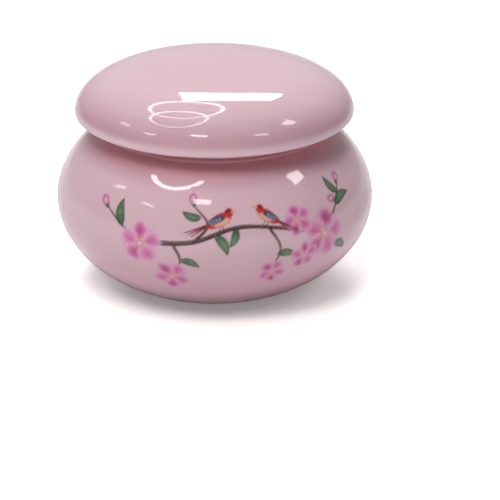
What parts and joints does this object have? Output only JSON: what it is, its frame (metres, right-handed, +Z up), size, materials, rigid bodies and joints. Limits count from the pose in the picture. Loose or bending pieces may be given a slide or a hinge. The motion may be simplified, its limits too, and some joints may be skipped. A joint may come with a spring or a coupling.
{
  "type": "powder jar",
  "caption": "Small round-bellied porcelain jar with a domed lid that lifts off, for powder, balm or cream.",
  "frame": {"origin": "on the jar's axis, in the plane that the foot ring stands on", "axes": "+Z up along the axis of the jar and the lid; -Y is the decorated front"},
  "size_m": [0.046, 0.046, 0.033],
  "materials": {
    "body_glaze": "glossy pink glaze with a fired-on transfer of blossoms, leaves and two birds",
    "lid_glaze": "glossy pink glaze"
  },
  "bodies": {
    "jar": {"jar_body": "body_glaze"},
    "cover": {"lid": "lid_glaze"}
  },
  "joints": [
    {"name": "lid_lift", "type": "slide", "parent": "jar", "child": "cover", "axis": [0, 0, 1], "range_m": [0, 0.035]}
  ]
}
